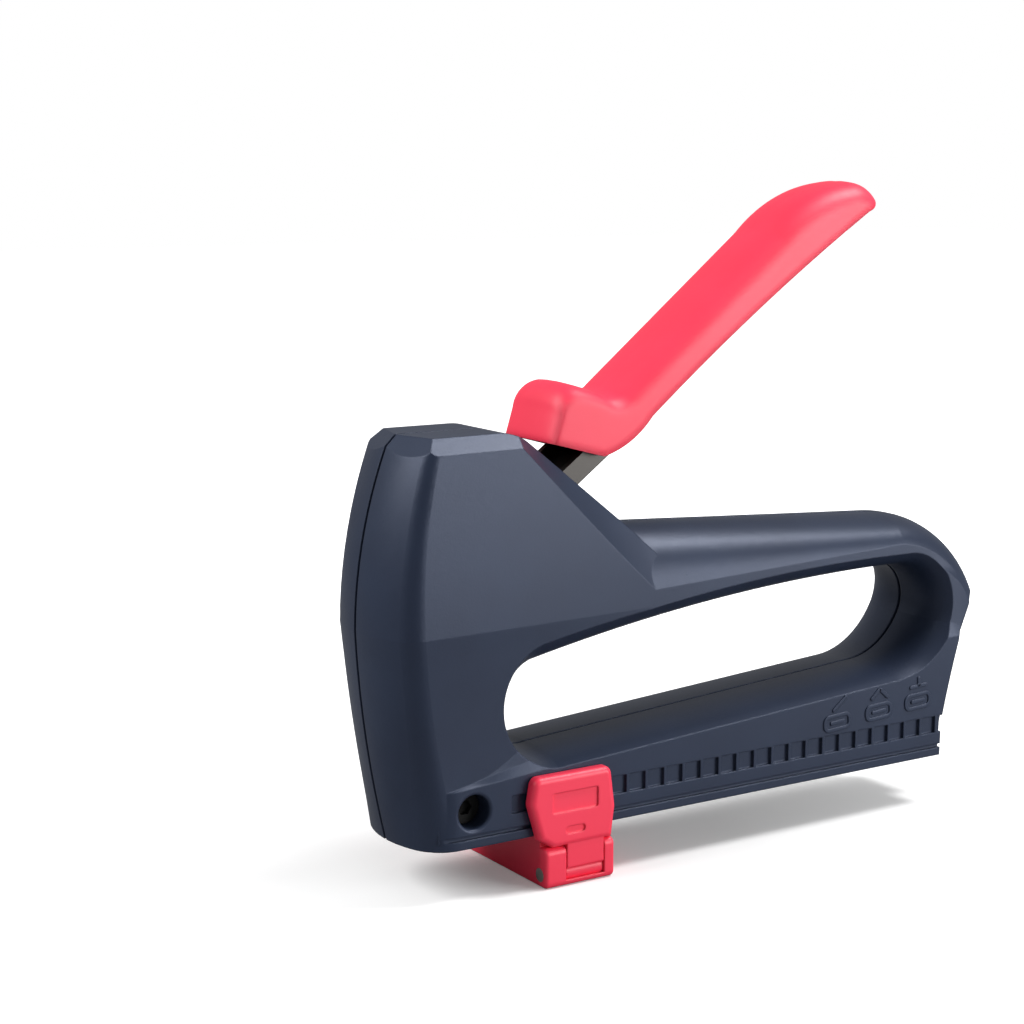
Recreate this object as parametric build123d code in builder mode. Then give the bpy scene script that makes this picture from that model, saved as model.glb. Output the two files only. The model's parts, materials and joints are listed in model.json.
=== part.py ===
from build123d import *
from math import cos, radians, sin
import os

os.makedirs("parts", exist_ok=True)

# Hand staple gun with a sliding edge guide, in millimetres.
# X runs to the rear from the nose plate, Y across the tool, Z up from the flat underside.

# Body
rail_half = 15.0
rail_front = -2.6
rail_rear = 136.4
nose_top = 85.5
slope_start = 19.4
rail_corner = 8.0
seam_width = 0.8
cavity_half = 10.8
tunnel_half = 7.2
tunnel_floor = 1.4
tunnel_roof = 13.2
groove_low = 1.9
groove_high = 2.8
groove_depth = 0.8
cell_pitch = 5.0
cell_count = 25
cell_first = 17.5
cell_size = (4.3, 4.0)
cell_depth = 0.7

# Fasteners of the body
boss_places = ((14.0, 79.0), (36.0, 49.0), (100.0, 51.5), (-8.0, 46.5), (-4.6, 20.0), (142.9, 39.5))
boss_radius = 3.3
screw_shank = 1.45
screw_head = 2.6
screw_seat = 9.4
recess_place = (6.3, 7.6)
recess_radius = 3.7
recess_seat = 8.6

# Lever and handle
pivot = (26.0, 64.0)
pivot_radius = 2.5
lift_point = (7.6, 48.6)
lift_radius = 2.0
lever_angle = 36.0
lever_edge = (41.0, 76.0)
lever_half = 7.5
lever_wall = 1.5
lever_depth = 4.8
lever_reach = 80.0
lever_joggle = 1.2
handle_half = 9.8
grip_screw_places = (25, 62)

# Driver
blade_thick = 0.9
blade_front = 0.75
blade_half = 5.6
plunger_half = 5.4
spring_x = 3.2
spring_coil = 4.8
spring_wire = 1.7

# Magazine
staple_top = 9.0
channel_half = 7.0
channel_rear = 128.0
rod_z = 5.8

# Edge guide
guide_front = 22.4
guide_rear = 39.9
guide_floor = -11.6
ear_front = -17.5
ear_top = -2.8
ear_gap = (27.4, 37.3)
clasp_axis = (-14.8, -8.9)
clasp_pin_radius = 1.5
clasp_roll = 2.3
clasp_back = 15.3
clasp_thick = 2.5
run_gap = 0.4


def along(s, n):
    """Point in the side view, s along the lever and n square to it, from the lever's lower edge."""
    a = radians(lever_angle)
    return (lever_edge[0] + s * cos(a) - n * sin(a), lever_edge[1] + s * sin(a) + n * cos(a))


lever_normal = (-sin(radians(lever_angle)), 0, cos(radians(lever_angle)))


def mix(a, b, t):
    """Point t of the way from a to b."""
    return (a[0] + (b[0] - a[0]) * t, a[1] + (b[1] - a[1]) * t)


# Side outlines of the grip loop: on the middle plane, at the crease, and down at the rail.
loop_mid = {
    "low": (136.9, 8.0), "hollow": (141.0, 23.4), "tip": (150.6, 36.0), "back": (151.3, 38.4),
    "curve": (141.7, 52.1), "bend": (126.0, 58.0), "top": (20.0, 64.5),
}
loop_crease = {
    "low": (136.7, 8.0), "hollow": (140.1, 23.4), "tip": (147.4, 36.0), "back": (147.7, 38.2),
    "curve": (138.9, 48.7), "bend": (125.0, 53.9), "top": (20.0, 52.7),
}
loop_ledge = {
    "low": (136.6, 8.0), "hollow": (140.2, 22.6), "tip": (145.6, 35.0), "back": (145.9, 36.0),
    "curve": (139.5, 43.5), "bend": (118.0, 30.0), "top": (20.0, 22.5),
}
loop_rail = {
    "low": (136.6, 8.0), "hollow": (139.2, 19.0), "tip": (141.6, 27.6), "back": (141.5, 28.6),
    "curve": (137.0, 28.4), "bend": (118.0, 20.9), "top": (20.0, 13.9),
}
rail_shoulder = (rail_front, 12.2)
round_steps = ((0.0, 0.0), (4.0, 0.07), (8.0, 0.34), (10.5, 0.66), (12.0, 1.0), (13.0, 1.42))

# Plan outline of the rail, rounded at the front like the foot of the nose.
with BuildPart() as rail_plan:
    with BuildSketch() as rail_outline:
        with BuildLine():
            Polyline((-2.2, -rail_half), (160, -rail_half), (160, rail_half), (-2.2, rail_half))
            ThreePointArc((-2.2, rail_half), (-6.6, 0), (-2.2, -rail_half))
        make_face()
        fillet(rail_outline.vertices().sort_by(Axis.X)[:2], rail_corner)
    extrude(amount=90)

with BuildPart() as loop:
    for y, share in [(-y, k) for y, k in reversed(round_steps[1:])] + list(round_steps):
        p = {name: mix(loop_mid[name], loop_crease[name], share) for name in loop_mid}
        with BuildSketch(Plane.XZ.offset(y)):
            with BuildLine():
                Polyline(p["top"], rail_shoulder, (rail_front, 0), (rail_rear, 0), p["low"])
                ThreePointArc(p["low"], p["hollow"], p["tip"])
                Line(p["tip"], p["back"])
                ThreePointArc(p["back"], p["curve"], p["bend"])
                Line(p["bend"], p["top"])
            make_face()
    loft()
    add(rail_plan.part, mode=Mode.INTERSECT)

with BuildPart() as cheeks:
    edge = {name: mix(loop_mid[name], loop_crease[name], round_steps[-1][1]) for name in loop_mid}
    foot = {name: mix(loop_rail[name], loop_ledge[name], 0.27) for name in loop_mid}
    for y, p in ((round_steps[-1][0], edge), (13.6, loop_ledge), (14.15, foot), (rail_half, loop_rail)):
        with BuildSketch(Plane.XZ.offset(y)):
            with BuildLine():
                Polyline(p["top"], rail_shoulder, (rail_front, 0), (rail_rear, 0), p["low"])
                ThreePointArc(p["low"], p["hollow"], p["tip"])
                Line(p["tip"], p["back"])
                ThreePointArc(p["back"], p["curve"], p["bend"])
                Line(p["bend"], p["top"])
            make_face()
    loft(ruled=True)
    mirror(about=Plane.XZ)
    add(rail_plan.part, mode=Mode.INTERSECT)

# Nose: plan outlines as (height, front, depth of the bowed front, half width, half width at the rear, corner).
nose_lower = ((0, -6.6, 4.4, 15.0, 12.4, 8), (22, -10.9, 5.7, 14.6, 12.4, 6), (45.4, -13.2, 4.9, 15.7, 12.6, 5))
nose_upper = (
    (45.4, -13.2, 4.9, 15.7, 12.6, 5), (65, -11.1, 4.4, 14.7, 12.3, 4), (nose_top, -4.7, 3.2, 13.2, 11.8, 3),
)
# Bevel that widens down the slope, as (X, height at the slope's edge, height at the side face).
bevel_lines = ((16, 87.8, 85.6), (62, 51.1, 40.3))
bevel_edge = -10.5
bevel_side = -13.1
with BuildPart() as slope_bevel:
    for x, edge_z, side_z in bevel_lines:
        fall = (edge_z - side_z) / (bevel_edge - bevel_side)
        with BuildSketch(Plane.YZ.offset(x)):
            with BuildLine():
                Polyline(
                    (-6, edge_z + fall * (-6 - bevel_edge)), (-20, edge_z + fall * (-20 - bevel_edge)),
                    (-20, edge_z + 30), (-6, edge_z + 30), close=True,
                )
            make_face()
    loft(ruled=True)
    mirror(about=Plane.XZ)

with BuildPart() as nose:
    for group in (nose_lower, nose_upper):
        for z, front, bow, half, half_rear, corner in group:
            with BuildSketch(Plane.XY.offset(z)) as outline:
                with BuildLine():
                    Polyline((front + bow, -half), (64, -half_rear), (64, half_rear), (front + bow, half))
                    ThreePointArc((front + bow, half), (front, 0), (front + bow, -half))
                make_face()
                fillet(outline.vertices().sort_by(Axis.X)[:2], corner)
        loft()
    with BuildSketch(Plane.XZ):
        with BuildLine():
            Polyline((66, 49), (80, 49), (80, 95), (slope_start, 95), (slope_start, nose_top), (49.5, 61.6))
            ThreePointArc((49.5, 61.6), (56.8, 55.4), (66, 49))
        make_face()
    extrude(amount=20, both=True, mode=Mode.SUBTRACT)
    top_face = nose.faces().sort_by(Axis.Z)[-1]
    fillet(top_face.edges().sort_by(Axis.X)[-1], 12)
    # Bevels along the sides of the top and on its bowed front, each a plane that takes off what is outside it.
    for side in (-1, 1):
        for origin, normal in (
            ((0, side * 10.2, nose_top), (0.015, side * 0.707, 0.707)),
            ((-3.4, 0, nose_top), (-0.681, side * 0.188, 0.707)),
        ):
            with Locations(Plane(origin=origin, z_dir=normal)):
                Box(120, 120, 40, align=(Align.CENTER, Align.CENTER, Align.MIN), mode=Mode.SUBTRACT)
    add(slope_bevel.part, mode=Mode.SUBTRACT)

# Finger opening: outline on the middle plane and where it flares out to the sides.
rear_turn = 60
open_mid = {
    "l1": (28, 16.2), "l2": (120.1, 22.6), "radii": (18.0, 9.2), "over": (74, 43.3), "u1": (25, 36.1),
    "front": (15.9, 27.0),
}
open_side = {
    "l1": (27, 13.9), "l2": (122.6, 20.1), "radii": (20.0, 12.6), "over": (74, 47.0), "u1": (24, 39.2),
    "front": (13.6, 28.2),
}
flare_steps = ((0, 0, 0), (7, 0.13, 0.15), (10.5, 0.38, 0.5), (12.5, 0.6, 1.0), (15, 1.0, 1.85), (17, 1.4, 2.7))
with BuildPart() as finger_opening:
    for y, low, high in [(-y, a, b) for y, a, b in reversed(flare_steps[1:])] + list(flare_steps):
        share = {"over": high, "u1": high, "radii": (low + high) / 2}
        p = {name: mix(open_mid[name], open_side[name], share.get(name, low)) for name in open_mid}
        with BuildSketch(Plane.XZ.offset(y)):
            with BuildLine():
                floor_line = Line(p["l1"], p["l2"])
                low_arc = JernArc(floor_line @ 1, floor_line % 1, p["radii"][0], rear_turn)
                high_arc = JernArc(low_arc @ 1, low_arc % 1, p["radii"][1], 180 - rear_turn)
                ThreePointArc(high_arc @ 1, p["over"], p["u1"])
                ThreePointArc(p["u1"], p["front"], p["l1"])
            make_face()
    loft()

with BuildPart() as outer:
    add(loop.part)
    add(cheeks.part)
    add(nose.part)
    add(finger_opening.part, mode=Mode.SUBTRACT)

# Groove on the parting line: a thin slab outside the land on which the halves meet.
with BuildPart() as seam:
    with Locations((60, 0, 40)):
        Box(240, seam_width, 140)
    with BuildSketch(Plane.XZ):
        with BuildLine():
            Polyline((20, 63.5), (-1.5, 11.8), (-1.5, 0.9), (135.5, 0.9), (136.0, 8.3))
            ThreePointArc((136.0, 8.3), (140.1, 23.9), (149.4, 36.3))
            Line((149.4, 36.3), (150.3, 38.3))
            ThreePointArc((150.3, 38.3), (141.0, 51.3), (125.9, 57.1))
            Line((125.9, 57.1), (20, 63.5))
        make_face()
        with BuildLine():
            ThreePointArc((-5.8, 0.9), (-10.0, 22), (-12.3, 45.4))
            ThreePointArc((-12.3, 45.4), (-10.2, 65), (-5.0, 82.0))
            Polyline((-5.0, 82.0), (-4.0, 83.6), (-3.0, 84.6), (14, 84.6), (19.2, 83.8), (42.4, 66.0))
            Polyline((42.4, 66.0), (52, 58.6), (20, 40))
            Polyline((20, 40), (10, 20), (10, 0.9), (-5.8, 0.9))
        make_face()
        with BuildLine():
            land_floor = Line((28, 15.3), (120.15, 21.7))
            land_low = JernArc(land_floor @ 1, land_floor % 1, 18.9, rear_turn)
            land_high = JernArc(land_low @ 1, land_low % 1, 10.1, 180 - rear_turn)
            ThreePointArc(land_high @ 1, (74, 44.0), (24.7, 36.8))
            ThreePointArc((24.7, 36.8), (15.0, 27.0), (28, 15.3))
        make_face(mode=Mode.SUBTRACT)
    extrude(amount=seam_width, both=True, mode=Mode.SUBTRACT)

with BuildPart() as housing:
    add(outer.part)
    add(seam.part, mode=Mode.SUBTRACT)
    # Room for the plunger, spring and lever.
    with BuildSketch(Plane.XZ):
        with BuildLine():
            Polyline(
                (-0.6, 13), (-0.6, 32.4), (0.4, 32.4), (0.4, 40.4), (-6.2, 40.4), (-6.2, 68), (-4.4, 76),
                (-3.0, 81.0), (-2.2, 82.9), (16.6, 82.9), (40.0, 65.6),
                (44.2, 60.5), (43, 48.2), (38, 44.7), (26, 42), (16.5, 39.4), (11.2, 33), (11.2, 13),
                close=True,
            )
        make_face()
    extrude(amount=cavity_half, both=True, mode=Mode.SUBTRACT)
    # Hollow of the grip.
    with BuildSketch(Plane.XZ):
        with BuildLine():
            Polyline((50, 46.5), (50, 56.6), (122, 54.4), (130, 52.6), (124, 50), (75, 47), close=True)
        make_face()
    extrude(amount=8, both=True, mode=Mode.SUBTRACT)
    # Slot in the slope for the lever.
    with BuildSketch(Plane.XZ):
        with BuildLine():
            Polyline((28, 88), (28, 68), (46, 58.5), (47.5, 62.5), (54, 66), (54, 88), close=True)
        make_face()
    extrude(amount=8.3, both=True, mode=Mode.SUBTRACT)
    # Magazine tunnel, open at the rear, and the exit at the nose.
    tunnel_height = tunnel_roof - tunnel_floor
    with Locations((2.6, 0, tunnel_floor)):
        Box(160, 2 * tunnel_half, tunnel_height, align=(Align.MIN, Align.CENTER, Align.MIN), mode=Mode.SUBTRACT)
    with Locations((-0.6, 0, -1)):
        Box(3.4, 17.6, 1 + tunnel_roof, align=(Align.MIN, Align.CENTER, Align.MIN), mode=Mode.SUBTRACT)
    # Guide grooves and index cells along both sides of the rail.
    for side in (-1, 1):
        with Locations((69, side * rail_half, (groove_low + groove_high) / 2)):
            Box(144, 2 * groove_depth, groove_high - groove_low, mode=Mode.SUBTRACT)
        with Locations(*[(cell_first + cell_pitch * i, side * rail_half, 7.75) for i in range(cell_count)]):
            Box(cell_size[0], 2 * cell_depth, cell_size[1], mode=Mode.SUBTRACT)
    # Bosses that meet on the middle plane.
    with BuildSketch(Plane.XZ):
        with Locations(*boss_places[:3]):
            Circle(boss_radius)
    extrude(amount=cavity_half + 0.4, both=True)
    # Guide ribs beside the plunger.
    for side in (-1, 1):
        with Locations((-2.4, side * 8.4, 57)):
            Box(1.7, 5.4, 24)
    # Sockets of the pivot pin, screw holes and screw recesses.
    with BuildSketch(Plane.XZ):
        with Locations(pivot):
            Circle(pivot_radius)
    extrude(amount=12.6, both=True, mode=Mode.SUBTRACT)
    with BuildSketch(Plane.XZ.offset(-20)):
        with Locations(*boss_places):
            Circle(screw_shank + 0.05)
    extrude(amount=29.2, mode=Mode.SUBTRACT)
    with BuildSketch(Plane.XZ.offset(-20)):
        with Locations(*boss_places):
            Circle(screw_head + 0.2)
    extrude(amount=20 - screw_seat, mode=Mode.SUBTRACT)
    with BuildSketch(Plane.XZ):
        with Locations(recess_place):
            Circle(1.8)
    extrude(amount=20, both=True, mode=Mode.SUBTRACT)
    for plane in (Plane.XZ.offset(recess_seat), Plane.XZ.offset(-20)):
        with BuildSketch(plane):
            with Locations(recess_place):
                Circle(recess_radius)
        extrude(amount=20 - recess_seat, mode=Mode.SUBTRACT)
    rims = housing.edges().filter_by(GeomType.CIRCLE).filter_by(lambda e: abs(e.radius - recess_radius) < 0.01)
    fillet(rims.filter_by(lambda e: abs(abs(e.center().Y) - rail_half) < 0.01), 0.7)

with BuildPart() as housing_left:
    add(housing.part)
    with Locations((60, 0, 40)):
        Box(240, 60, 140, align=(Align.CENTER, Align.MAX, Align.CENTER), mode=Mode.INTERSECT)
housing_left.part.label = "housing_left"
export_step(housing_left.part, "parts/housing_left.step")

with BuildPart() as housing_right:
    add(housing.part)
    with Locations((60, 0, 40)):
        Box(240, 60, 140, align=(Align.CENTER, Align.MIN, Align.CENTER), mode=Mode.INTERSECT)
housing_right.part.label = "housing_right"
export_step(housing_right.part, "parts/housing_right.step")

with BuildPart() as housing_screws:
    with BuildSketch(Plane.XZ.offset(-screw_seat)):
        with Locations(*boss_places):
            Circle(screw_shank)
    extrude(amount=screw_seat + 8.6)
    with BuildSketch(Plane.XZ.offset(-screw_seat)):
        with Locations(*boss_places):
            Circle(screw_head)
    extrude(amount=-1.8)
    with BuildSketch(Plane.XZ.offset(-screw_seat - 1.8)):
        with Locations(*boss_places):
            Rectangle(3.4, 0.8)
            Rectangle(0.8, 3.4)
    extrude(amount=1.0, mode=Mode.SUBTRACT)
housing_screws.part.label = "housing_screws"
export_step(housing_screws.part, "parts/housing_screws.step")

with BuildPart() as magazine_screws:
    with BuildSketch(Plane.XZ.offset(6.3)):
        with Locations(recess_place):
            Circle(1.75)
    extrude(amount=recess_seat - 6.3)
    with BuildSketch(Plane.XZ.offset(recess_seat)):
        with Locations(recess_place):
            Circle(3.4)
    extrude(amount=2.2)
    with BuildSketch(Plane.XZ.offset(recess_seat + 2.2)):
        with Locations(recess_place):
            RegularPolygon(1.7, 6)
    extrude(amount=-1.3, mode=Mode.SUBTRACT)
    mirror(about=Plane.XZ)
magazine_screws.part.label = "magazine_screws"
export_step(magazine_screws.part, "parts/magazine_screws.step")

with BuildPart() as nose_plate:
    with BuildSketch(Plane.YZ.offset(-0.6)):
        with BuildLine():
            Polyline((-8.6, 0), (8.6, 0), (8.6, 26), (6.5, 32.4), (-6.5, 32.4), (-8.6, 26), close=True)
        make_face()
    extrude(amount=1.2)
nose_plate.part.label = "nose_plate"
export_step(nose_plate.part, "parts/nose_plate.step")

with BuildPart() as blade_guide:
    with Locations((1.85, 0, 14)):
        Box(4.6, 2 * cavity_half, 15.5, align=(Align.MIN, Align.CENTER, Align.MIN))
    with Locations((4.6, 0, 14)):
        Box(4, 9, 31, align=(Align.MIN, Align.CENTER, Align.CENTER), mode=Mode.SUBTRACT)
blade_guide.part.label = "blade_guide"
export_step(blade_guide.part, "parts/blade_guide.step")

with BuildPart() as magazine_channel:
    channel_top = 12.4
    with BuildSketch(Plane.YZ.offset(2.8)):
        with BuildLine():
            Polyline(
                (-channel_half, channel_top), (-channel_half, tunnel_floor), (channel_half, tunnel_floor),
                (channel_half, channel_top), (channel_half - 0.8, channel_top),
                (channel_half - 0.8, tunnel_floor + 0.8), (0.8 - channel_half, tunnel_floor + 0.8),
                (0.8 - channel_half, channel_top), close=True,
            )
        make_face()
    extrude(amount=channel_rear - 2.8)
    with BuildSketch(Plane.XZ):
        with Locations(recess_place):
            Circle(1.8)
    extrude(amount=20, both=True, mode=Mode.SUBTRACT)
magazine_channel.part.label = "magazine_channel"
export_step(magazine_channel.part, "parts/magazine_channel.step")

with BuildPart() as staple_rail:
    with BuildSketch(Plane.YZ.offset(1.85)):
        with BuildLine():
            Polyline(
                (-4.7, 4.2), (-4.7, staple_top), (4.7, staple_top), (4.7, 4.2), (3.9, 4.2),
                (3.9, staple_top - 0.8), (-3.9, staple_top - 0.8), (-3.9, 4.2), close=True,
            )
        make_face()
    extrude(amount=124)
    with Locations((2.8, 0, tunnel_floor + 0.8)):
        Box(1.0, 7.8, 7.0, align=(Align.MIN, Align.CENTER, Align.MIN))
staple_rail.part.label = "staple_rail"
export_step(staple_rail.part, "parts/staple_rail.step")

with BuildPart() as pusher:
    with Locations((3.2, 0, 2.5)):
        Box(13.8, 11.8, 7.9, align=(Align.MIN, Align.CENTER, Align.MIN))
    with Locations((0, 0, 3.9)):
        Box(60, 10, 5.4, align=(Align.CENTER, Align.CENTER, Align.MIN), mode=Mode.SUBTRACT)
    with Locations((4.4, 0, 3.0)):
        Box(12.6, 7.0, 4.8, align=(Align.MIN, Align.CENTER, Align.MIN))
    with Locations((0, 0, 2)):
        Box(8.8, 10, 5, align=(Align.CENTER, Align.CENTER, Align.MIN), mode=Mode.SUBTRACT)
    with BuildSketch(Plane.YZ):
        with Locations((0, rod_z)):
            Circle(1.5)
    extrude(amount=40, mode=Mode.SUBTRACT)
pusher.part.label = "pusher"
export_step(pusher.part, "parts/pusher.step")

with BuildPart() as guide_rod:
    with BuildSketch(Plane.YZ.offset(6)):
        with Locations((0, rod_z)):
            Circle(1.2)
    extrude(amount=128)
guide_rod.part.label = "guide_rod"
export_step(guide_rod.part, "parts/guide_rod.step")

with BuildPart() as pusher_coil:
    with BuildLine() as turns:
        Helix(pitch=3.25, height=110.5, radius=1.95)
    with BuildSketch(Plane(origin=turns.line @ 0, z_dir=turns.line % 0)):
        Circle(0.25)
    sweep()

with BuildPart() as pusher_spring:
    with Locations(Plane(origin=(17.5, 0, rod_z), x_dir=(0, 1, 0), z_dir=(1, 0, 0))):
        add(pusher_coil.part)
pusher_spring.part.label = "pusher_spring"
export_step(pusher_spring.part, "parts/pusher_spring.step")

with BuildPart() as magazine_cap:
    with Locations((128.6, 0, 1.7)):
        Box(9.8, 13.8, 11.2, align=(Align.MIN, Align.CENTER, Align.MIN))
    with Locations((138.4, 0, 1.0)):
        Box(2.2, 16, 12, align=(Align.MIN, Align.CENTER, Align.MIN))
    with Locations(*[(140.6, 0, 4.4 + 2.6 * i) for i in range(3)]):
        Box(0.7, 11.6, 1.2, align=(Align.MIN, Align.CENTER, Align.CENTER))
    fillet(magazine_cap.edges().filter_by(Axis.X).filter_by(lambda e: 138 < e.center().X < 140.5), 0.9)
    with BuildSketch(Plane.YZ.offset(120)):
        with Locations((0, rod_z)):
            Circle(1.22)
    extrude(amount=14, mode=Mode.SUBTRACT)
magazine_cap.part.label = "magazine_cap"
export_step(magazine_cap.part, "parts/magazine_cap.step")

with BuildPart() as driver_blade:
    with Locations((blade_front, 0, 0.8)):
        Box(blade_thick, 2 * blade_half, 43.8, align=(Align.MIN, Align.CENTER, Align.MIN))
    with BuildSketch(Plane.YZ):
        with Locations((0, 35), (0, 41)):
            Circle(1.22)
    extrude(amount=10, mode=Mode.SUBTRACT)
driver_blade.part.label = "driver_blade"
export_step(driver_blade.part, "parts/driver_blade.step")

with BuildPart() as plunger:
    with Locations((blade_front + blade_thick, 0, 31)):
        Box(5.4, 2 * plunger_half, 14, align=(Align.MIN, Align.CENTER, Align.MIN))
    with Locations((-3.4, 0, 45)):
        Box(11.8, 2 * plunger_half, 11, align=(Align.MIN, Align.CENTER, Align.MIN))
    with Locations((-0.4, 0, 46)):
        Box(20, 40, 5.2, align=(Align.MIN, Align.CENTER, Align.MIN), mode=Mode.SUBTRACT)
    with BuildSketch(Plane.YZ):
        with Locations((0, 35), (0, 41)):
            Circle(1.22)
    extrude(amount=20, mode=Mode.SUBTRACT)
plunger.part.label = "plunger"
export_step(plunger.part, "parts/plunger.step")

with BuildPart() as plunger_rivets:
    with BuildSketch(Plane.YZ.offset(blade_front)):
        with Locations((0, 35), (0, 41)):
            Circle(1.2)
    extrude(amount=6.3)
plunger_rivets.part.label = "plunger_rivets"
export_step(plunger_rivets.part, "parts/plunger_rivets.step")

with BuildPart() as bumper:
    with Locations((-4.8, 0, 40.4)):
        Box(5.1, 12.4, 4.5, align=(Align.MIN, Align.CENTER, Align.MIN))
    fillet(bumper.edges().filter_by(Axis.Z), 0.8)
bumper.part.label = "bumper"
export_step(bumper.part, "parts/bumper.step")

with BuildPart() as main_coil:
    with BuildLine() as turns:
        Helix(pitch=3.8, height=22.8, radius=spring_coil)
    with BuildSketch(Plane(origin=turns.line @ 0, z_dir=turns.line % 0)):
        Circle(spring_wire / 2)
    sweep()

with BuildPart() as main_spring:
    with Locations((spring_x, 0, 56.9)):
        add(main_coil.part)
main_spring.part.label = "main_spring"
export_step(main_spring.part, "parts/main_spring.step")

with BuildPart() as spring_cap:
    with Locations((spring_x, 0, 80.6)):
        Cylinder(5.2, 1.5, align=(Align.CENTER, Align.CENTER, Align.MIN))
    with Locations((spring_x, 0, 69.5)):
        Cylinder(3.2, 13.4, align=(Align.CENTER, Align.CENTER, Align.MIN))
spring_cap.part.label = "spring_cap"
export_step(spring_cap.part, "parts/spring_cap.step")

with BuildPart() as lever_channel:
    with BuildSketch(Plane.XZ):
        with Locations(pivot):
            Circle(6.5)
        with Locations(lift_point):
            Circle(3.4)
        make_hull()
        with BuildLine():
            Polyline(
                along(-20, 0), along(8, 0), along(14, lever_joggle), along(lever_reach, lever_joggle),
                along(lever_reach, lever_joggle + lever_depth), along(14, lever_joggle + lever_depth),
                along(8, lever_depth), along(-20, lever_depth), close=True,
            )
        make_face()
    extrude(amount=lever_half, both=True)
    with BuildSketch(Plane.XZ):
        with BuildLine():
            Polyline(
                along(-60, -30), along(-11, -30), along(-11, lever_wall), along(8, lever_wall),
                along(14, lever_joggle + lever_wall), along(90, lever_joggle + lever_wall), along(90, 30),
                along(-60, 30), close=True,
            )
        make_face()
    extrude(amount=lever_half - lever_wall, both=True, mode=Mode.SUBTRACT)
    with BuildSketch(Plane.XZ):
        with Locations(pivot):
            Circle(pivot_radius + 0.05)
        with Locations(lift_point):
            Circle(lift_radius + 0.02)
    extrude(amount=20, both=True, mode=Mode.SUBTRACT)
    for s in grip_screw_places:
        spot = along(s, lever_joggle)
        square = Plane(origin=(spot[0], 0, spot[1]), x_dir=(0, 1, 0), z_dir=lever_normal)
        with BuildSketch(square):
            Circle(1.6)
        extrude(amount=3, both=True, mode=Mode.SUBTRACT)
lever_channel.part.label = "lever_channel"
export_step(lever_channel.part, "parts/lever_channel.step")

# Handle cover: side outlines on the middle plane and at the side, from the hood over the arm to the tip.
grip_mid = {
    "a": (28.3, 82.4), "b": (30.2, 89.4), "bc": (31.6, 92.8), "c": (34.8, 94.4), "cd": (38.8, 93.3),
    "e": (42.4, 92.0), "ef": (45.2, 91.5), "f": (48.0, 93.0), "h": (88.5, 125.2), "hj": (99.0, 132.6),
    "j": (110.6, 135.7), "jl": (116.9, 134.3), "l": (119.0, 132.0), "lm": (118.8, 130.8), "m": (117.6, 130.1),
    "o": (113.9, 128.9),
}
grip_side = {
    "a": (29.4, 82.1), "b": (31.2, 87.4), "bc": (32.5, 89.9), "c": (35.4, 91.2), "cd": (39.4, 90.1),
    "e": (43.6, 88.4), "ef": (47.0, 87.7), "f": (50.9, 89.2), "h": (91.7, 121.3), "hj": (100.4, 127.4),
    "j": (107.8, 130.4), "jl": (111.8, 131.0), "l": (113.9, 130.3), "lm": (114.4, 129.7), "m": (114.2, 129.2),
    "o": (113.8, 128.9),
}
grip_under = {"op": (83.75, 108.85), "p": (54.4, 86.5), "pq": (49.2, 81.8), "s": (41.8, 78.7)}
grip_steps = (
    (0, 0), (3.0, 0.01), (5.2, 0.06), (7.1, 0.19), (8.4, 0.38), (9.2, 0.58), (9.65, 0.79), (handle_half, 1.0),
)
with BuildPart() as handle_grip:
    for y, share in [(-y, k) for y, k in reversed(grip_steps[1:])] + list(grip_steps):
        p = {name: mix(grip_mid[name], grip_side[name], share) for name in grip_mid} | grip_under
        with BuildSketch(Plane.XZ.offset(y)):
            with BuildLine():
                Line(p["a"], p["b"])
                ThreePointArc(p["b"], p["bc"], p["c"])
                ThreePointArc(p["c"], p["cd"], p["e"])
                ThreePointArc(p["e"], p["ef"], p["f"])
                Line(p["f"], p["h"])
                ThreePointArc(p["h"], p["hj"], p["j"])
                ThreePointArc(p["j"], p["jl"], p["l"])
                ThreePointArc(p["l"], p["lm"], p["m"])
                Line(p["m"], p["o"])
                ThreePointArc(p["o"], p["op"], p["p"])
                ThreePointArc(p["p"], p["pq"], p["s"])
                Line(p["s"], p["a"])
            make_face()
    loft()
    pocket_roof = lever_joggle + lever_depth + 0.1
    with BuildSketch(Plane.XZ):
        with BuildLine():
            Polyline(
                (31.8, 74), (32.6, 87.6), (36, 90.6), (43, 88.8), along(11, pocket_roof), along(82, pocket_roof),
                along(82, -4), along(4, -4), (44, 74), close=True,
            )
        make_face()
    extrude(amount=lever_half + 0.1, both=True, mode=Mode.SUBTRACT)
    for s in grip_screw_places:
        spot = along(s, lever_joggle + lever_wall)
        square = Plane(origin=(spot[0], 0, spot[1]), x_dir=(0, 1, 0), z_dir=lever_normal)
        with BuildSketch(square):
            Circle(3)
        extrude(amount=lever_depth - lever_wall + 0.5)
        with BuildSketch(square):
            Circle(1.35)
        extrude(amount=5.6, mode=Mode.SUBTRACT)
handle_grip.part.label = "handle_grip"
export_step(handle_grip.part, "parts/handle_grip.step")

with BuildPart() as grip_screws:
    for s in grip_screw_places:
        spot = along(s, lever_joggle)
        square = Plane(origin=(spot[0], 0, spot[1]), x_dir=(0, 1, 0), z_dir=lever_normal)
        with BuildSketch(square):
            Circle(1.3)
        extrude(amount=6.6)
        with BuildSketch(square):
            Circle(2.5)
        extrude(amount=-1.3)
grip_screws.part.label = "grip_screws"
export_step(grip_screws.part, "parts/grip_screws.step")

with BuildPart() as lift_pin:
    with BuildSketch(Plane.XZ):
        with Locations(lift_point):
            Circle(lift_radius)
    extrude(amount=lever_half, both=True)
lift_pin.part.label = "lift_pin"
export_step(lift_pin.part, "parts/lift_pin.step")

with BuildPart() as pivot_pin:
    with BuildSketch(Plane.XZ):
        with Locations(pivot):
            Circle(pivot_radius)
    extrude(amount=12.6, both=True)
pivot_pin.part.label = "pivot_pin"
export_step(pivot_pin.part, "parts/pivot_pin.step")

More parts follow.
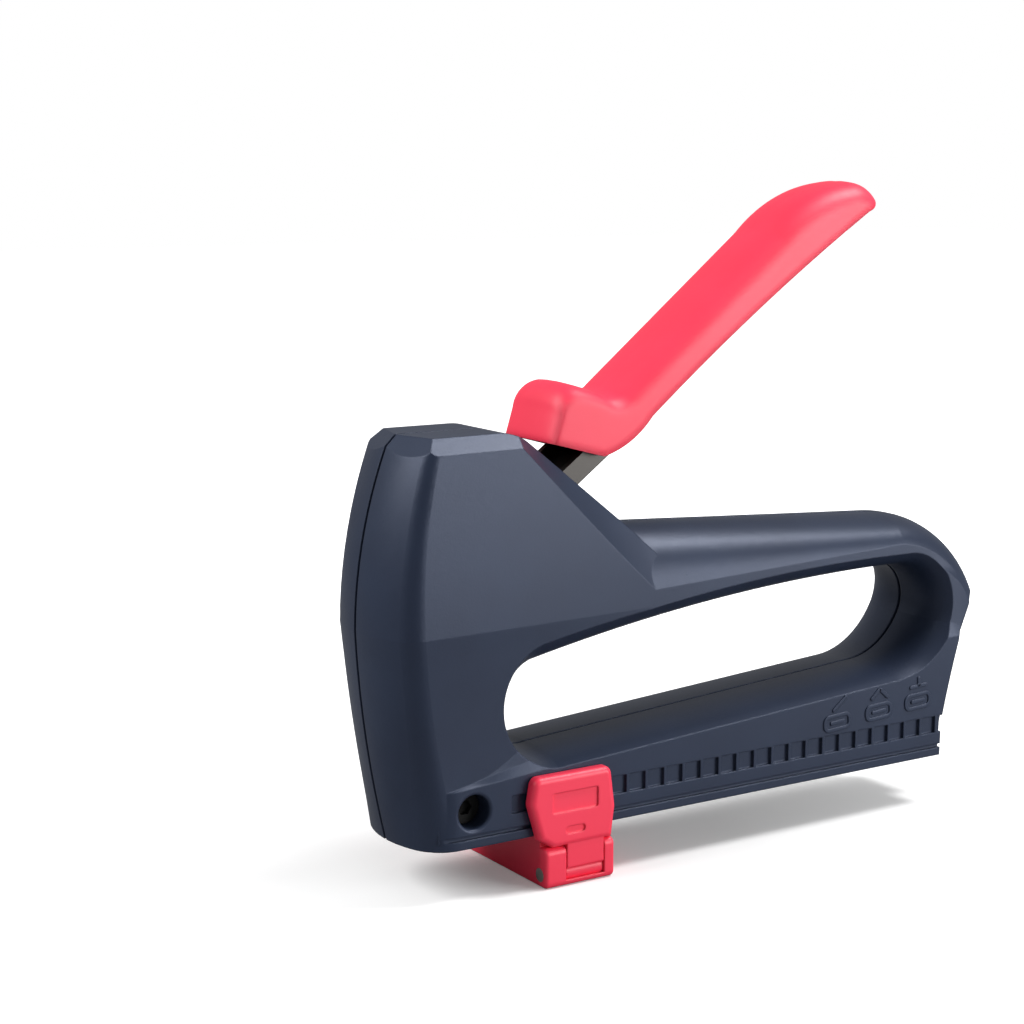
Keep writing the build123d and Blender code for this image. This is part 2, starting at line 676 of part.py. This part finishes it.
with BuildPart() as pivot_spacer:
    with BuildSketch(Plane.XZ):
        with Locations(pivot):
            Circle(4.2)
            Circle(pivot_radius + 0.05, mode=Mode.SUBTRACT)
    extrude(amount=lever_half - lever_wall, both=True)
pivot_spacer.part.label = "pivot_spacer"
export_step(pivot_spacer.part, "parts/pivot_spacer.step")

with BuildPart() as pivot_bushes:
    with BuildSketch(Plane.XZ.offset(lever_half + 0.2)):
        with Locations(pivot):
            Circle(4.8)
            Circle(pivot_radius, mode=Mode.SUBTRACT)
    extrude(amount=cavity_half - lever_half - 0.2)
    mirror(about=Plane.XZ)
pivot_bushes.part.label = "pivot_bushes"
export_step(pivot_bushes.part, "parts/pivot_bushes.step")

# Return spring: wound on the spacer, one leg under the lever's web, one on the body.
leg_start = radians(11.7)
with BuildPart() as return_coil:
    with BuildLine() as turns:
        Helix(pitch=1.6, height=1.6 * 4.905, radius=4.95)
    with BuildSketch(Plane(origin=turns.line @ 0, z_dir=turns.line % 0)):
        Circle(0.4)
    sweep()
    with BuildSketch(Plane(origin=turns.line @ 0, z_dir=turns.line % 0)):
        Circle(0.4)
    extrude(amount=-13)
    with BuildSketch(Plane(origin=turns.line @ 1, z_dir=turns.line % 1)):
        Circle(0.4)
    extrude(amount=8.6)

leg_dir = (cos(leg_start), 0, sin(leg_start))
with BuildPart() as return_spring:
    with Locations(Plane(origin=(pivot[0], 4, pivot[1]), x_dir=leg_dir, z_dir=(0, -1, 0))):
        add(return_coil.part)
return_spring.part.label = "return_spring"
export_step(return_spring.part, "parts/return_spring.step")

with BuildPart() as guide_bar:
    jaw = rail_half + run_gap
    lip_low = groove_low + 0.15
    lip_high = groove_high - 0.15
    axis_y, axis_z = clasp_axis
    with BuildSketch(Plane.YZ.offset(guide_front)) as bar_section:
        with BuildLine():
            Polyline(
                (ear_front, guide_floor), (17.2, guide_floor), (18.2, guide_floor + 1), (18.2, 5.6), (jaw, 5.6),
                (jaw, lip_high), (14.5, lip_high), (14.5, lip_low), (jaw, lip_low), (jaw, -run_gap),
                (axis_y, -run_gap), (axis_y, ear_top), (ear_front, ear_top), close=True,
            )
        make_face()
        fillet(bar_section.vertices().filter_by(lambda v: v.X < ear_front + 0.1 and v.Y < -10), 1.4)
        fillet(bar_section.vertices().filter_by(lambda v: v.X < ear_front + 0.1 and v.Y > -4), 1.4)
    extrude(amount=guide_rear - guide_front)
    ends = guide_bar.edges().filter_by(Axis.Z).filter_by(lambda e: abs(e.center().Y - ear_front) < 0.01)
    fillet(ends, 0.7)
    # Gap between the ears for the clasp's roll, with a low wall left in front of it.
    with BuildSketch(Plane.YZ.offset(ear_gap[0])):
        with Locations(clasp_axis):
            Circle(clasp_roll + 0.3)
        with BuildLine():
            Polyline(
                (axis_y - 0.4, axis_z), (axis_y - 0.4, 0), (-22, 0), (-22, -10.2), (-16.9, -10.2), close=True,
            )
        make_face()
    extrude(amount=ear_gap[1] - ear_gap[0], mode=Mode.SUBTRACT)
    with BuildSketch(Plane.YZ):
        with Locations(clasp_axis):
            Circle(clasp_pin_radius)
    extrude(amount=60, mode=Mode.SUBTRACT)
guide_bar.part.label = "guide_bar"
export_step(guide_bar.part, "parts/guide_bar.step")

with BuildPart() as clasp_pin:
    with BuildSketch(Plane.YZ.offset(guide_front)):
        with Locations(clasp_axis):
            Circle(clasp_pin_radius)
    extrude(amount=guide_rear - guide_front)
clasp_pin.part.label = "clasp_pin"
export_step(clasp_pin.part, "parts/clasp_pin.step")

with BuildPart() as clasp:
    with BuildSketch(Plane.XZ.offset(clasp_back)) as clasp_outline:
        with BuildLine():
            Polyline(
                (24.2, -2.6), (20.9, -0.6), (18.5, 7.4), (19.5, 13.2), (38.9, 13.2), (40.1, 4.2), (39.2, -2.6),
                close=True,
            )
        make_face()
        fillet(clasp_outline.vertices().group_by(Axis.Y)[-1], 1.8)
        fillet(clasp_outline.vertices().filter_by(lambda v: 4 < v.Y < 8), 3)
    extrude(amount=clasp_thick)
    fillet(clasp.faces().sort_by(Axis.Y)[0].edges(), 1.3)
    clasp_front = Plane.XZ.offset(clasp_back + clasp_thick)
    with BuildSketch(clasp_front):
        with Locations((29.6, 7.2)):
            RectangleRounded(11.6, 4.4, 0.5)
        with Locations((29.6, 0.9)):
            SlotOverall(5, 1.6)
    extrude(amount=-0.35, mode=Mode.SUBTRACT)
    with BuildSketch(Plane.YZ.offset(ear_gap[0] + 0.3)):
        with Locations(clasp_axis):
            Circle(clasp_roll)
        with BuildLine():
            Polyline(
                (-clasp_back, axis_z), (-clasp_back, -1.5), (ear_front, -1.5), (ear_front, axis_z + 1.5),
                (ear_front + 0.6, axis_z + 0.9), close=True,
            )
        make_face()
    extrude(amount=ear_gap[1] - ear_gap[0] - 0.6)
    with Locations((29.6, -clasp_back, (lip_low + lip_high) / 2)):
        Box(13, 1.6, lip_high - lip_low)
    with BuildSketch(Plane.YZ):
        with Locations(clasp_axis):
            Circle(clasp_pin_radius + 0.05)
    extrude(amount=60, mode=Mode.SUBTRACT)
clasp.part.label = "clasp"
export_step(clasp.part, "parts/clasp.step")
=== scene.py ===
# %% [markdown]
# # A hand staple gun with a sliding edge guide
# The tool is a dark moulded body in two halves, a red squeeze handle on a steel lever, and a red
# guide that clasps the rail under the body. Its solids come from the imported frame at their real
# size, so this lesson gives them finishes, adds the small moulded marks, and lights the tool as in
# a studio.

# %% Load the frame
import json
import math

import bpy
from mathutils import Matrix, Vector


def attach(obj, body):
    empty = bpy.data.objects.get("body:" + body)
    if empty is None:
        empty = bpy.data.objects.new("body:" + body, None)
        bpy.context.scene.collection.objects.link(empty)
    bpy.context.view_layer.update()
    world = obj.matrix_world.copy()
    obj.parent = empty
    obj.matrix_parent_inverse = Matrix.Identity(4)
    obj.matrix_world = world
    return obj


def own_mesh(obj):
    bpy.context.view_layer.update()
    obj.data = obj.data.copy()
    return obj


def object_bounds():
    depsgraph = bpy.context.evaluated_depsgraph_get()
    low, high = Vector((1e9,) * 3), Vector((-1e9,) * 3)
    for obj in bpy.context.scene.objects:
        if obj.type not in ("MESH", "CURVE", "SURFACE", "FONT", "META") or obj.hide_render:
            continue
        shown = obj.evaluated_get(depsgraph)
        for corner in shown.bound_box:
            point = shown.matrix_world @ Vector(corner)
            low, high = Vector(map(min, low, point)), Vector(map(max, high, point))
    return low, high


MM = 0.001

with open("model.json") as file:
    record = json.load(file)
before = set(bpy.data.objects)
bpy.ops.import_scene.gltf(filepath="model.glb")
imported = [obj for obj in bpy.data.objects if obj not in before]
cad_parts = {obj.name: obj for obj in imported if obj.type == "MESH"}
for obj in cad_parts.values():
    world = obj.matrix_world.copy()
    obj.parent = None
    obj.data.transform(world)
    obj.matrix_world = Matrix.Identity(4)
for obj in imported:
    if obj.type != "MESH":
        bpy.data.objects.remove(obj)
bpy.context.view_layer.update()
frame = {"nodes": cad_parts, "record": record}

# %% [markdown]
# ## Camera
# A product shot from about half a metre, slightly above the rail and from the nose's side. A camera
# can be pointed by a constraint. Here its place and its two turns are written as numbers, because
# they were worked out from the rail, the parting line and the outline of the loop.

# %% Camera
CAMERA_PLACE = Vector((-210.1, -373.3, 141.4)) * MM
CAMERA_YAW = math.radians(32.18)
CAMERA_PITCH = math.radians(9.59)
LENS = 73.96
SENSOR_WIDTH = 36
NEAREST_SEEN = 0.01

camera_turn = (math.pi / 2 - CAMERA_PITCH, 0, -CAMERA_YAW)
bpy.ops.object.camera_add(location=CAMERA_PLACE, rotation=camera_turn)
camera = bpy.context.object
camera.data.lens = LENS
camera.data.sensor_width = SENSOR_WIDTH
camera.data.clip_start = NEAREST_SEEN
bpy.context.scene.camera = camera
print("camera with a lens of", LENS, "mm")

# %% [markdown]
# ## Colours and nodes
# Colours are written as the hex values of a paint program. Shaders take linear numbers, so one
# function turns the one into the other. A second one adds a node together with what goes into it,
# which keeps each material below as short as its idea.

# %% Two helpers
def linear(hex_colour, alpha=1.0):
    """An sRGB hex colour as the linear numbers that the shaders take."""
    parts = [int(hex_colour[i : i + 2], 16) / 255 for i in (1, 3, 5)]
    return (*[c / 12.92 if c <= 0.04045 else ((c + 0.055) / 1.055) ** 2.4 for c in parts], alpha)


def add_node(tree, kind, inputs=None, **settings):
    """A node with its settings. Inputs go by name or number, as values or (node, output) links."""
    made = tree.nodes.new(kind)
    for name, value in settings.items():
        setattr(made, name, value)
    for place, value in (inputs or {}).items():
        if isinstance(value, tuple) and isinstance(value[0], bpy.types.Node):
            tree.links.new(value[0].outputs[value[1]], made.inputs[place])
        else:
            made.inputs[place].default_value = value
    return made


print("white in linear numbers:", linear("#FFFFFF"))

# %% [markdown]
# ## Floor
# The tool stands on white paper that runs into a white ground. Lamps strong enough to make the
# paper white would bleach the tool. So the paper glows by itself where the camera sees it: a little
# beside the tool, where the shadow has to show, and more with distance, until it fades to white.
# For the light that it throws back onto the tool, it is a plain grey.

# %% Paper floor
FLOOR_SIZE = 6
FLOOR_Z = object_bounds()[0][2]
GLOW_MIDDLE = (40 * MM, 0, 0)
GLOW_REACH = (40 * MM, 420 * MM)
FLOOR_GLOW = (0.12, 0.9)
PAPER_SEEN = "#FAFAFA"
PAPER_BOUNCE = "#8C8C8C"


def deselect_all():
    bpy.ops.object.select_all(action="DESELECT")


deselect_all()
bpy.ops.mesh.primitive_plane_add(size=FLOOR_SIZE, location=(0, 0, FLOOR_Z))
floor = bpy.context.object
floor.name = "studio_floor"

paper = bpy.data.materials.new("white_paper_floor")
paper.use_nodes = True
tree = paper.node_tree
tree.nodes.clear()
light_path = add_node(tree, "ShaderNodeLightPath")
where = add_node(tree, "ShaderNodeTexCoord")
reach = add_node(
    tree, "ShaderNodeVectorMath", {0: (where, "Object"), 1: GLOW_MIDDLE}, operation="DISTANCE"
)
glow_share = add_node(tree, "ShaderNodeMapRange", {
    "Value": (reach, "Value"),
    "From Min": GLOW_REACH[0],
    "From Max": GLOW_REACH[1],
    "To Min": FLOOR_GLOW[0],
    "To Max": FLOOR_GLOW[1],
})
paint = add_node(tree, "ShaderNodeBsdfDiffuse", {"Color": linear(PAPER_SEEN)})
glow = add_node(tree, "ShaderNodeEmission", {"Strength": (glow_share, "Result")})
seen = add_node(tree, "ShaderNodeAddShader", {0: (paint, 0), 1: (glow, 0)})
bounce = add_node(tree, "ShaderNodeBsdfDiffuse", {"Color": linear(PAPER_BOUNCE)})
surface = add_node(
    tree, "ShaderNodeMixShader", {0: (light_path, "Is Camera Ray"), 1: (bounce, 0), 2: (seen, 0)}
)
add_node(tree, "ShaderNodeOutputMaterial", {"Surface": (surface, "Shader")})
floor.data.materials.append(paper)
print("floor at", round(FLOOR_Z / MM, 1), "mm")

# %% [markdown]
# ## World and lamps
# One large soft lamp stands to the right of the camera, low enough to be mirrored in the flat
# sides. A second hangs over the rear of the tool, so that it shows in the bevels of the top and on
# the round grip. A third, above the nose, lights its front and the back of the handle and sends the
# shadow to the rear. Between them the corner of the nose stays dark, which shows its shape. The
# world is white to the camera and dim to the tool, so that the ground adds little light.

# %% World
AMBIENT = 0.3

world = bpy.data.worlds.new("white_studio")
bpy.context.scene.world = world
world.use_nodes = True
tree = world.node_tree
tree.nodes.clear()
light_path = add_node(tree, "ShaderNodeLightPath")
white = linear("#FFFFFF")
ambient = add_node(tree, "ShaderNodeBackground", {"Color": white, "Strength": AMBIENT})
ground = add_node(tree, "ShaderNodeBackground", {"Color": white, "Strength": 1.0})
which = add_node(
    tree, "ShaderNodeMixShader", {0: (light_path, "Is Camera Ray"), 1: (ambient, 0), 2: (ground, 0)}
)
add_node(tree, "ShaderNodeOutputWorld", {"Surface": (which, "Shader")})
bpy.context.scene.view_settings.view_transform = "Standard"
print("world light on the tool:", AMBIENT)

# %% Lamps
TOOL_MIDDLE = Vector((60, 0, 45)) * MM
# Each lamp: the way to it from the tool, its distance and its width in mm, and its watts.
LAMPS = {
    "near_side_lamp": ((0.6, -0.79, 0.12), 750, 420, 4.5),
    "rear_top_lamp": ((0.51, -0.22, 0.82), 800, 220, 4.2),
    "left_top_lamp": ((-0.78, 0.2, 0.58), 700, 400, 3.9),
}

for name, (direction, distance, width, watts) in LAMPS.items():
    towards = Vector(direction).normalized()
    bpy.ops.object.light_add(type="AREA", location=TOOL_MIDDLE + towards * distance * MM)
    lamp = bpy.context.object
    lamp.name = name
    lamp.data.size = width * MM
    lamp.data.energy = watts
    lamp.rotation_euler = (-towards).to_track_quat("-Z", "Y").to_euler()
    print(name, watts, "W")

# %% [markdown]
# ## Moulded plastics
# The body, the handle and the guide are moulded in plastic that is coloured through. One flat
# colour would look drawn, and a picture of plastic would bring its own light along. So each plastic
# has two close tones in broad patches, the grain of its mould, and a Bevel node that rounds the
# light on the edges, because a moulded edge is never sharp. Spark-eroded grain is 0.1 to 0.2 mm
# wide. That is too fine to show here, so it is drawn three or four times as coarse.

# %% Plastics
PLASTIC_IOR = 1.53
PATCH_MM = 18
PATCH_SPAN = (0.35, 0.65)
PLASTIC_SPREAD = 0.05
EDGE_SAMPLES = 4


def plastic(name, base, shade, roughness, grain_mm, grain_depth_mm, edge_mm, sheen="#FFFFFF"):
    """A moulded plastic: two tones in broad patches, a spark-eroded grain, soft moulded edges."""
    material = bpy.data.materials.new(name)
    material.use_nodes = True
    tree = material.node_tree
    tree.nodes.clear()
    where = add_node(tree, "ShaderNodeTexCoord")
    patches = add_node(tree, "ShaderNodeTexNoise", {
        "Vector": (where, "Object"), "Scale": 1 / (PATCH_MM * MM), "Detail": 3.0,
    })
    tones = add_node(tree, "ShaderNodeValToRGB", {"Fac": (patches, "Fac")})
    for stop, place, tone in zip(tones.color_ramp.elements, PATCH_SPAN, (shade, base)):
        stop.position = place
        stop.color = linear(tone)
    grain = add_node(tree, "ShaderNodeTexNoise", {
        "Vector": (where, "Object"), "Scale": 1 / (grain_mm * MM), "Detail": 2.0,
    })
    rough = add_node(tree, "ShaderNodeMapRange", {
        "Value": (grain, "Fac"),
        "To Min": roughness - PLASTIC_SPREAD,
        "To Max": roughness + PLASTIC_SPREAD,
    })
    edges = add_node(tree, "ShaderNodeBevel", {"Radius": edge_mm * MM}, samples=EDGE_SAMPLES)
    bump = add_node(tree, "ShaderNodeBump", {
        "Strength": 1.0,
        "Distance": grain_depth_mm * MM,
        "Height": (grain, "Fac"),
        "Normal": (edges, "Normal"),
    })
    shader = add_node(tree, "ShaderNodeBsdfPrincipled", {
        "Base Color": (tones, "Color"),
        "Roughness": (rough, "Result"),
        "Normal": (bump, "Normal"),
        "IOR": PLASTIC_IOR,
        "Specular Tint": linear(sheen),
    })
    add_node(tree, "ShaderNodeOutputMaterial", {"Surface": (shader, "BSDF")})
    print("plastic:", name)
    return material


# The body's ABS is satin, so the lamps show in it as wide soft lights. Its gloss has a blue tint,
# which keeps the lit faces of a blue-grey plastic as cool as the dark ones.
body_abs = plastic(
    "moulded_ABS_blue_grey", "#242D40", "#21293B", 0.4, 0.5, 0.012, 0.45, "#C8D2EC"
)
# The guide's red ABS is bright and even, with thin light lines along its edges.
red_abs = plastic("moulded_ABS_red", "#FF3756", "#FB3351", 0.42, 0.6, 0.008, 0.5)
# The handle's ABS has the same red, but far rounder edges, over which the light runs softly.
soft_red = plastic("moulded_ABS_red_soft_edged", "#FF3756", "#FB3351", 0.45, 0.6, 0.008, 2.6)
# Nylon, for pieces that others slide on, is black and a little duller than ABS.
black_nylon = plastic("moulded_nylon_black", "#15161A", "#111215", 0.5, 0.4, 0.015, 0.3)
# Rubber takes the blow of the plunger. It is black and has next to no gloss.
bumper_rubber = plastic("moulded_rubber_black", "#161616", "#121212", 0.8, 0.8, 0.03, 0.3)

# %% [markdown]
# ## Steels
# The lever, the pins, the springs and the magazine are steel. Rolling and drawing leave fine
# streaks along the metal. An anisotropic shader needs a direction for each piece, and at this size
# the streaks are seen more than the stretched light, so a noise that is drawn out along X gives
# them. They are real at a tenth of a millimetre and are drawn three times as wide, so that they show.

# %% Steels
STREAK_STRETCH = (0.04, 1, 1)
STREAK_SHADE = 0.8
STEEL_SPREAD = 0.08
STEEL_EDGE = 0.2 * MM


def steel(name, colour, roughness, grain_mm, metallic=1.0):
    """A drawn or rolled steel: fine streaks along X, in the tone and in the gloss."""
    material = bpy.data.materials.new(name)
    material.use_nodes = True
    tree = material.node_tree
    tree.nodes.clear()
    where = add_node(tree, "ShaderNodeTexCoord")
    turn = add_node(
        tree, "ShaderNodeMapping", {"Vector": (where, "Object"), "Scale": STREAK_STRETCH}
    )
    streaks = add_node(tree, "ShaderNodeTexNoise", {
        "Vector": (turn, "Vector"), "Scale": 1 / (grain_mm * MM), "Detail": 4.0,
    })
    tones = add_node(tree, "ShaderNodeValToRGB", {"Fac": (streaks, "Fac")})
    bright = linear(colour)
    tones.color_ramp.elements[0].color = [c * STREAK_SHADE for c in bright[:3]] + [1]
    tones.color_ramp.elements[1].color = bright
    rough = add_node(tree, "ShaderNodeMapRange", {
        "Value": (streaks, "Fac"),
        "To Min": roughness - STEEL_SPREAD,
        "To Max": roughness + STEEL_SPREAD,
    })
    edges = add_node(tree, "ShaderNodeBevel", {"Radius": STEEL_EDGE}, samples=EDGE_SAMPLES)
    shader = add_node(tree, "ShaderNodeBsdfPrincipled", {
        "Base Color": (tones, "Color"),
        "Roughness": (rough, "Result"),
        "Normal": (edges, "Normal"),
        "Metallic": metallic,
    })
    add_node(tree, "ShaderNodeOutputMaterial", {"Surface": (shader, "BSDF")})
    print("steel:", name)
    return material


# Zinc plating is pale and slightly cloudy, and blurs what it mirrors.
plated_steel = steel("zinc_plated_steel", "#C9C7C2", 0.45, 0.35)
# The lever's cold-rolled sheet has no plating: a darker grey with the same blurred gloss.
rolled_steel = steel("cold_rolled_steel", "#504E4C", 0.42, 0.35)
# Drawn wire is smoother, so each turn of a spring has its own small bright light.
spring_wire = steel("drawn_spring_wire", "#9B9DA0", 0.32, 0.3)
# Black oxide covers the screws with a matt, nearly black skin that hides most of the metal's shine.
black_oxide = steel("black_oxide_steel", "#060607", 0.75, 0.3, 0.2)

# %% [markdown]
# ## Dress the solids
# The record names a finish for each solid, so a loop can dress them all. Two are dressed by name:
# the handle's cover, which has the rounder edges, and the lever, whose steel isn't plated.

# %% Dress the solids
FINISHES = {
    "body_plastic": body_abs,
    "red_plastic": red_abs,
    "inner_plastic": black_nylon,
    "steel": plated_steel,
    "spring_steel": spring_wire,
    "black_steel": black_oxide,
    "rubber": bumper_rubber,
}
SPECIAL = {"handle_grip": soft_red, "lever_channel": rolled_steel}
for part in frame["record"]["subparts"]:
    mesh = frame["nodes"][part["node"]].data
    mesh.materials.clear()
    mesh.materials.append(SPECIAL.get(part["node"], FINISHES[part["material_slot"]]))
print("dressed", len(frame["nodes"]), "solids")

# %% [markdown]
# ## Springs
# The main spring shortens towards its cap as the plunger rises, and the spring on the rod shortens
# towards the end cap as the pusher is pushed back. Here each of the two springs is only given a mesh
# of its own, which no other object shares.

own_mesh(frame["nodes"]["main_spring"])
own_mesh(frame["nodes"]["pusher_spring"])

# %% [markdown]
# ## Moulded marks
# Three small signs stand on the near side of the rail, and a thin line with a notch marks its front
# end. They could be painted as bump, but then the side of the rail would have no relief of its own.
# So each line starts as a plane on the side face. Its corners are rounded, the middle of a ring is
# taken out, and the rest is raised. The foot lies a little under the face, so that no gap shows.

# %% Lines and rings
SIDE_Y = -15.0
RAISED = 0.24
SUNK = 0.15
# How far a corner is cut back, as a share of the line's or the ring's height, and in how many steps.
BAR_CORNER = (0.45, 4)
RING_CORNER = (0.42, 6)


def edit_new_plane(width, height, x, z, angle):
    """A new plane of this size on the side face, with its mesh open in edit mode; sizes in mm."""
    deselect_all()
    bpy.ops.mesh.primitive_plane_add(size=1, location=(x * MM, (SIDE_Y + SUNK) * MM, z * MM))
    piece = bpy.context.object
    piece.scale = (width * MM, height * MM, 1)
    piece.rotation_euler = (math.pi / 2, -math.radians(angle), 0)
    bpy.ops.object.transform_apply(location=True, rotation=True, scale=True)
    bpy.ops.object.mode_set(mode="EDIT")
    bpy.ops.mesh.select_all(action="SELECT")
    return piece


def raise_and_close():
    """Raise the open mesh off the side face, and leave edit mode with its faces outwards."""
    bpy.ops.mesh.select_all(action="SELECT")
    bpy.ops.mesh.extrude_region_move(
        TRANSFORM_OT_translate={"value": (0, -(RAISED + SUNK) * MM, 0), "orient_type": "GLOBAL"}
    )
    bpy.ops.mesh.select_all(action="SELECT")
    bpy.ops.mesh.normals_make_consistent(inside=False)
    bpy.ops.object.mode_set(mode="OBJECT")


def raised_bar(length, thick, x, z, angle):
    """A short raised line with round ends."""
    share, steps = BAR_CORNER
    piece = edit_new_plane(length, thick, x, z, angle)
    bpy.ops.mesh.bevel(offset=share * thick * MM, segments=steps, affect="VERTICES")
    raise_and_close()
    return piece


def raised_ring(width, height, line, x, z, angle):
    """A raised outline with rounded corners and an open middle."""
    share, steps = RING_CORNER
    piece = edit_new_plane(width, height, x, z, angle)
    bpy.ops.mesh.bevel(offset=share * height * MM, segments=steps, affect="VERTICES")
    bpy.ops.mesh.inset(thickness=line * MM)
    bpy.ops.mesh.delete(type="FACE")
    raise_and_close()
    return piece


print("marks stand", RAISED, "mm off the side")

# %% Join the lines of a mark
CORNER_CENTRE = Vector((2.68, -7.0, 0)) * MM
EDGE_STEPS = 2


def one_piece(name, pieces, edge_mm, turned=0.0):
    """Join the raised lines of one mark, round their edges and let it ride on the body. A mark on
    the round front corner of the rail is drawn where that corner starts, and turned about the
    corner's centre."""
    deselect_all()
    for piece in pieces:
        piece.select_set(True)
    bpy.context.view_layer.objects.active = pieces[0]
    bpy.ops.object.join()
    mark = bpy.context.object
    mark.name = name
    rounding = mark.modifiers.new("moulded_edge", "BEVEL")
    rounding.width = edge_mm * MM
    rounding.segments = EDGE_STEPS
    bpy.ops.object.modifier_apply(modifier=rounding.name)
    turn = Matrix.Rotation(math.radians(-turned), 4, "Z")
    there, back = Matrix.Translation(CORNER_CENTRE), Matrix.Translation(-CORNER_CENTRE)
    mark.matrix_world = there @ turn @ back
    bpy.ops.object.transform_apply(location=True, rotation=True, scale=True)
    mark.data.materials.clear()
    mark.data.materials.append(body_abs)
    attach(mark, "frame")
    print(name, "has", len(mark.data.polygons), "faces")


# %% Signs and the mark at the nose
RAIL_LEAN = 3.5
SIGN_RING = (8.4, 4.2)
SIGN_CORE = 4.4
SIGN_LINE = 1.0
SIGN_EDGE = 0.1
# Each sign: the middle of its ring, and the strokes over it as length, X, Z and angle.
SIGNS = {
    "sign_open": ((104.0, 12.7), [(5.4, 104.6, 17.0, 38)]),
    "sign_load": ((116.6, 13.5), [(3.8, 115.5, 17.7, 42), (3.8, 118.1, 17.7, -42)]),
    "sign_close": (
        (128.8, 14.3), [(5.6, 128.9, 17.9, RAIL_LEAN), (2.4, 129.0, 19.1, 90 + RAIL_LEAN)]
    ),
}
FRONT_LINE = 0.3
FRONT_EDGE = 0.06
FRONT_TURN = 33
FRONT_STROKES = [(3.6, 2.7, 9.0, 90), (3.2, 2.7, 3.2, 90), (1.6, 2.3, 6.8, 60), (1.6, 2.3, 5.4, -60)]

for name, ((ring_x, ring_z), strokes) in SIGNS.items():
    lines = [raised_ring(*SIGN_RING, SIGN_LINE, ring_x, ring_z, RAIL_LEAN)]
    for length, x, z, angle in [(SIGN_CORE, ring_x, ring_z, RAIL_LEAN), *strokes]:
        lines.append(raised_bar(length, SIGN_LINE, x, z, angle))
    one_piece(name, lines, SIGN_EDGE)
notch = [raised_bar(length, FRONT_LINE, x, z, angle) for length, x, z, angle in FRONT_STROKES]
one_piece("front_mark", notch, FRONT_EDGE, turned=FRONT_TURN)
